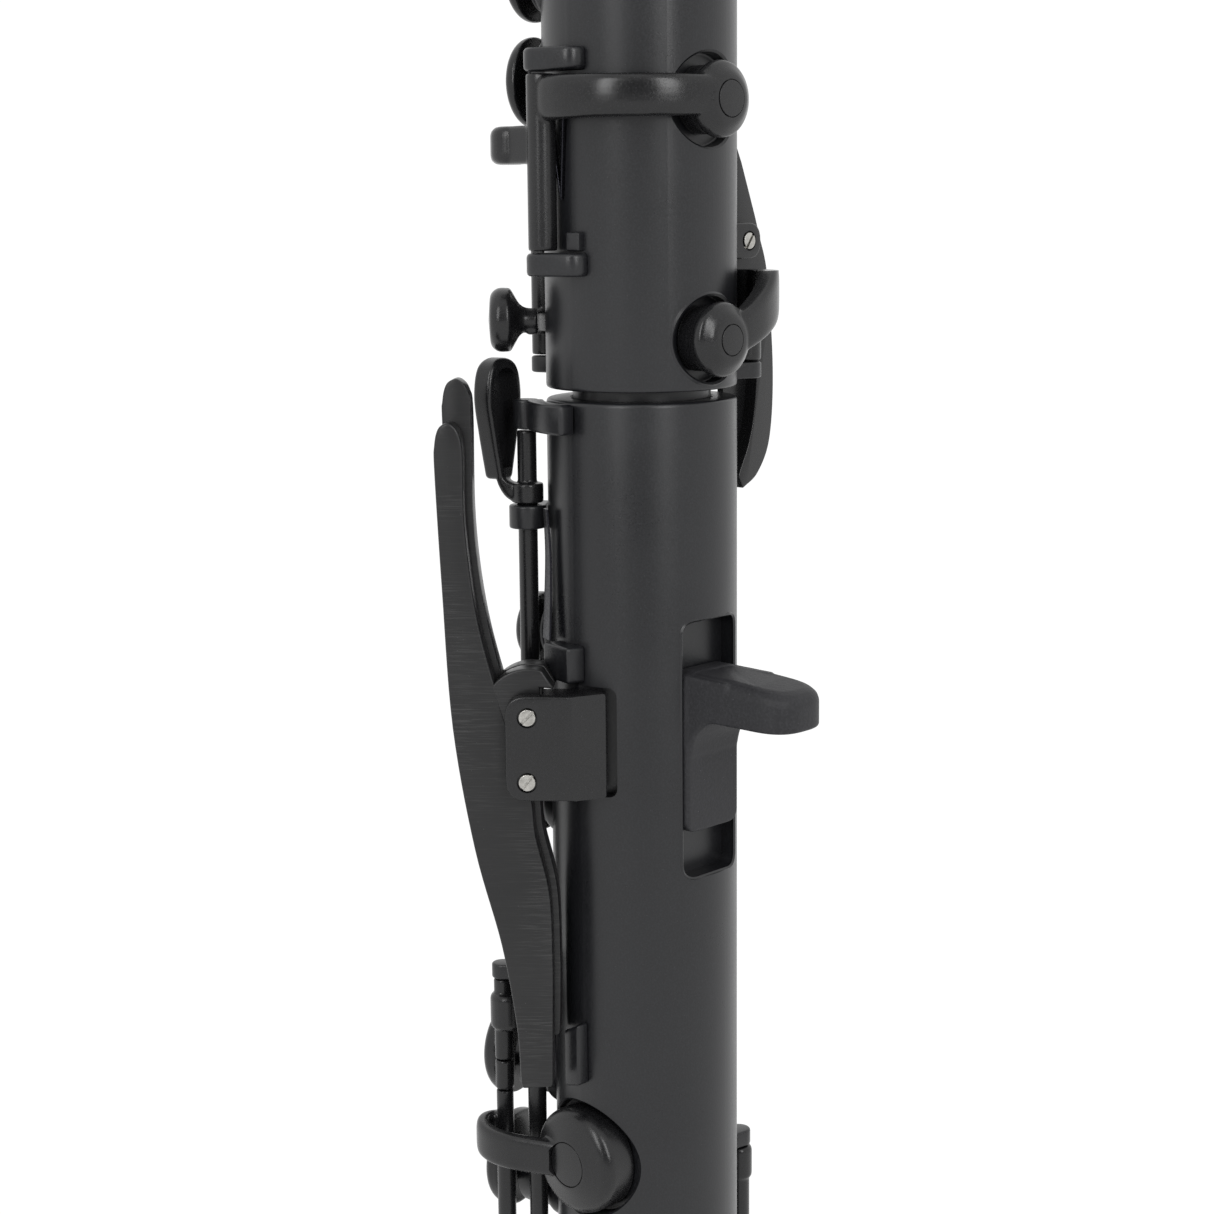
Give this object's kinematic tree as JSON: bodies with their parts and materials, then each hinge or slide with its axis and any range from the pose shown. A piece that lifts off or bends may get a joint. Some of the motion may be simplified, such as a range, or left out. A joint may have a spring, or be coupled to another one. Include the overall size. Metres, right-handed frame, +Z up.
{
  "type": "bass clarinet",
  "caption": "Upright bass clarinet in black moulded plastic, with sprung finger keys on hinge rods, long side levers, an upturned bell, a bent neck and a floor peg.",
  "frame": {"origin": "middle of the floor peg's foot, on the floor", "axes": "+Z up along the bore; -Y is the front, with the finger keys and the bell's opening; +Y is the player; +X is the player's left"},
  "size_m": [0.114, 0.3686, 1.17],
  "materials": {
    "body_plastic": "charcoal black moulded plastic with a fine matt grain",
    "key_plastic": "satin black moulded plastic, lightly brushed on flat sides",
    "soft_rubber": "dull black with a fine even grain",
    "nickel_trim": "polished nickel plate",
    "screw_steel": "bright turned steel with fine ring marks",
    "spring_steel": "blued flat spring",
    "cork": "natural sheet cork, waxed",
    "ebonite": "polished black hard rubber",
    "cane": "pale straight-grained cane"
  },
  "bodies": {
    "body": {"upper_joint": "body_plastic", "lower_joint": "body_plastic", "tenon_cork": "cork", "neck_ring": "nickel_trim", "bell_bow": "body_plastic", "bell": "body_plastic", "strap_ring": "nickel_trim", "lever_block": "key_plastic", "lever_pivot_screw": "screw_steel", "block_screw": "screw_steel", "stop_block": "body_plastic", "c_sharp_post_upper": "body_plastic", "c_sharp_post_lower": "body_plastic", "side_lever_bracket": "key_plastic", "side_lever_screw": "screw_steel", "register_post": "body_plastic", "throat_a_post": "body_plastic", "throat_g_sharp_post": "body_plastic", "inner_tube": "key_plastic", "leaf_post_upper": "body_plastic", "leaf_post_lower": "body_plastic", "leaf_spring": "spring_steel", "spring_block": "body_plastic", "peg_clamp": "nickel_trim"},
    "neck": {"neck": "body_plastic", "mouthpiece": "ebonite", "reed": "cane", "ligature": "nickel_trim"},
    "peg": {"peg_rod": "nickel_trim", "peg_foot": "soft_rubber"},
    "thumb_rest": {"thumb_rest": "soft_rubber"},
    "low_e_lever": {"low_e_lever": "key_plastic"},
    "low_f_sharp_lever": {"low_f_sharp_lever": "key_plastic"},
    "c_sharp_key": {"c_sharp_key": "key_plastic"},
    "side_b_flat_key": {"side_b_flat_key": "key_plastic"},
    "side_lever": {"side_lever": "key_plastic"},
    "button_key": {"button_key": "key_plastic"},
    "thumb_key": {"thumb_key": "key_plastic"},
    "register_key": {"register_key": "key_plastic"},
    "throat_a_key": {"throat_a_key": "key_plastic"},
    "throat_g_sharp_key": {"throat_g_sharp_key": "key_plastic"},
    "leaf_key": {"leaf_key": "key_plastic"},
    "lh_index_key": {"lh_index_key": "key_plastic"},
    "lh_middle_key": {"lh_middle_key": "key_plastic"},
    "lh_ring_key": {"lh_ring_key": "key_plastic"},
    "rh_index_key": {"rh_index_key": "key_plastic"},
    "rh_middle_key": {"rh_middle_key": "key_plastic"},
    "rh_ring_key": {"rh_ring_key": "key_plastic"},
    "tab_key": {"tab_key": "key_plastic"},
    "low_g_key": {"low_g_key": "key_plastic"},
    "low_f_sharp_key": {"low_f_sharp_key": "key_plastic"},
    "a_flat_key": {"a_flat_key": "key_plastic"},
    "low_f_key": {"low_f_key": "key_plastic"},
    "low_e_key": {"low_e_key": "key_plastic"},
    "low_e_flat_key": {"low_e_flat_key": "key_plastic"},
    "sliver_key": {"sliver_key": "key_plastic"},
    "ligature_screw": {"ligature_screw": "screw_steel"},
    "peg_screw": {"peg_screw": "screw_steel"}
  },
  "joints": [
    {"name": "thumb_rest_slide", "type": "slide", "parent": "body", "child": "thumb_rest", "axis": [0, 0, 1], "range_m": [-0.008, 0.008]},
    {"name": "low_e_lever_pivot", "type": "hinge", "parent": "body", "child": "low_e_lever", "pos_m": [0.02928, -0.03531, 0.596], "axis": [-0.7466, -0.6652, 0], "range_deg": [0, 5], "stiffness_Nm_per_rad": 0.6, "springref_deg": -8.59},
    {"name": "low_f_sharp_lever_pivot", "type": "hinge", "parent": "body", "child": "low_f_sharp_lever", "pos_m": [0.02503, -0.0391, 0.596], "axis": [-0.7466, -0.6652, 0], "range_deg": [0, 5], "stiffness_Nm_per_rad": 0.6, "springref_deg": -8.59},
    {"name": "c_sharp_hinge", "type": "hinge", "parent": "body", "child": "c_sharp_key", "pos_m": [0.02295, -0.03605, 0.708], "axis": [0, 0, -1], "range_deg": [0, 7], "stiffness_Nm_per_rad": 0.6, "springref_deg": -8.59},
    {"name": "side_b_flat_hinge", "type": "hinge", "parent": "body", "child": "side_b_flat_key", "pos_m": [-0.02211, -0.02116, 0.676], "axis": [0, 0, 1], "range_deg": [0, 7], "stiffness_Nm_per_rad": 0.6, "springref_deg": -8.59},
    {"name": "side_lever_pivot", "type": "hinge", "parent": "body", "child": "side_lever", "pos_m": [-0.0244, -0.0277, 0.6916], "axis": [0, -1, 0], "range_deg": [0, 3], "stiffness_Nm_per_rad": 0.6, "springref_deg": -8.59},
    {"name": "button_hinge", "type": "hinge", "parent": "body", "child": "button_key", "pos_m": [0.00585, -0.05448, 0.68], "axis": [0, 0, 1], "range_deg": [0, 4], "stiffness_Nm_per_rad": 0.6, "springref_deg": -8.59},
    {"name": "thumb_key_hinge", "type": "hinge", "parent": "body", "child": "thumb_key", "pos_m": [-0.01434, -0.01126, 0.852], "axis": [0, 0, -1], "range_deg": [0, 3.5], "stiffness_Nm_per_rad": 0.6, "springref_deg": -8.59},
    {"name": "register_rocker", "type": "hinge", "parent": "body", "child": "register_key", "pos_m": [0, -0.0054, 0.962], "axis": [-1, 0, 0], "range_deg": [0, 2.5], "stiffness_Nm_per_rad": 0.6, "springref_deg": -8.59},
    {"name": "throat_a_rocker", "type": "hinge", "parent": "body", "child": "throat_a_key", "pos_m": [0, -0.0566, 0.98], "axis": [1, 0, 0], "range_deg": [0, 2.5], "stiffness_Nm_per_rad": 0.6, "springref_deg": -8.59},
    {"name": "throat_g_sharp_rocker", "type": "hinge", "parent": "body", "child": "throat_g_sharp_key", "pos_m": [0.02171, -0.04457, 0.954], "axis": [0.5299, 0.848, 0], "range_deg": [0, 2.5], "stiffness_Nm_per_rad": 0.6, "springref_deg": -8.59},
    {"name": "leaf_hinge", "type": "hinge", "parent": "body", "child": "leaf_key", "pos_m": [0.01739, -0.04797, 0.622], "axis": [0, 0, 1], "range_deg": [0, 6], "stiffness_Nm_per_rad": 0.6, "springref_deg": -8.59},
    {"name": "lh_index_hinge", "type": "hinge", "parent": "body", "child": "lh_index_key", "pos_m": [-0.0123, -0.0523, 0.834], "axis": [0, 0, 1], "range_deg": [0, 4], "stiffness_Nm_per_rad": 0.6, "springref_deg": -8.59},
    {"name": "lh_middle_hinge", "type": "hinge", "parent": "body", "child": "lh_middle_key", "pos_m": [-0.0123, -0.0523, 0.79], "axis": [0, 0, 1], "range_deg": [0, 4], "stiffness_Nm_per_rad": 0.6, "springref_deg": -8.59},
    {"name": "lh_ring_hinge", "type": "hinge", "parent": "body", "child": "lh_ring_key", "pos_m": [-0.0123, -0.0523, 0.736], "axis": [0, 0, 1], "range_deg": [0, 4], "stiffness_Nm_per_rad": 0.6, "springref_deg": -8.59},
    {"name": "rh_index_hinge", "type": "hinge", "parent": "body", "child": "rh_index_key", "pos_m": [-0.0123, -0.0523, 0.6084], "axis": [0, 0, 1], "range_deg": [0, 4], "stiffness_Nm_per_rad": 0.6, "springref_deg": -8.59},
    {"name": "rh_middle_hinge", "type": "hinge", "parent": "body", "child": "rh_middle_key", "pos_m": [-0.0123, -0.0523, 0.572], "axis": [0, 0, 1], "range_deg": [0, 4], "stiffness_Nm_per_rad": 0.6, "springref_deg": -8.59},
    {"name": "rh_ring_hinge", "type": "hinge", "parent": "body", "child": "rh_ring_key", "pos_m": [-0.0123, -0.0523, 0.54], "axis": [0, 0, 1], "range_deg": [0, 4], "stiffness_Nm_per_rad": 0.6, "springref_deg": -8.59},
    {"name": "tab_hinge", "type": "hinge", "parent": "body", "child": "tab_key", "pos_m": [0.02115, -0.05448, 0.522], "axis": [0, 0, -1], "range_deg": [0, 8], "stiffness_Nm_per_rad": 0.6, "springref_deg": -8.59},
    {"name": "low_g_hinge", "type": "hinge", "parent": "body", "child": "low_g_key", "pos_m": [0.02115, -0.05448, 0.51], "axis": [0, 0, -1], "range_deg": [0, 6], "stiffness_Nm_per_rad": 0.6, "springref_deg": -8.59},
    {"name": "low_f_sharp_hinge", "type": "hinge", "parent": "body", "child": "low_f_sharp_key", "pos_m": [0.02115, -0.05448, 0.482], "axis": [0, 0, -1], "range_deg": [0, 6], "stiffness_Nm_per_rad": 0.6, "springref_deg": -8.59},
    {"name": "a_flat_hinge", "type": "hinge", "parent": "body", "child": "a_flat_key", "pos_m": [0.02115, -0.05448, 0.498], "axis": [0, 0, -1], "range_deg": [0, 7], "stiffness_Nm_per_rad": 0.6, "springref_deg": -8.59},
    {"name": "low_f_hinge", "type": "hinge", "parent": "body", "child": "low_f_key", "pos_m": [-0.02391, -0.04266, 0.422], "axis": [0, 0, 1], "range_deg": [0, 4], "stiffness_Nm_per_rad": 0.6, "springref_deg": -8.59},
    {"name": "low_e_hinge", "type": "hinge", "parent": "body", "child": "low_e_key", "pos_m": [-0.02627, -0.03516, 0.372], "axis": [0, 0, 1], "range_deg": [0, 4], "stiffness_Nm_per_rad": 0.6, "springref_deg": -8.59},
    {"name": "low_e_flat_hinge", "type": "hinge", "parent": "body", "child": "low_e_flat_key", "pos_m": [-0.02634, -0.0273, 0.322], "axis": [0, 0, 1], "range_deg": [0, 4], "stiffness_Nm_per_rad": 0.6, "springref_deg": -8.59},
    {"name": "sliver_hinge", "type": "hinge", "parent": "body", "child": "sliver_key", "pos_m": [-0.02052, -0.04382, 0.592], "axis": [0, 0, 1], "range_deg": [0, 6], "stiffness_Nm_per_rad": 0.6, "springref_deg": -8.59},
    {"name": "neck_pull", "type": "slide", "parent": "body", "child": "neck", "axis": [0, 0, 1], "range_m": [0, 0.012]},
    {"name": "ligature_screw_turn", "type": "hinge", "parent": "neck", "child": "ligature_screw", "pos_m": [0, 0.12306, 1.1517], "axis": [1, 0, 0], "range_deg": [-180, 180]},
    {"name": "peg_slide", "type": "slide", "parent": "body", "child": "peg", "axis": [0, 0, 1], "range_m": [-0.01, 0.1]},
    {"name": "peg_screw_turn", "type": "hinge", "parent": "body", "child": "peg_screw", "pos_m": [0, 0.017, 0.163], "axis": [0, 1, 0], "range_deg": [-90, 180]}
  ]
}
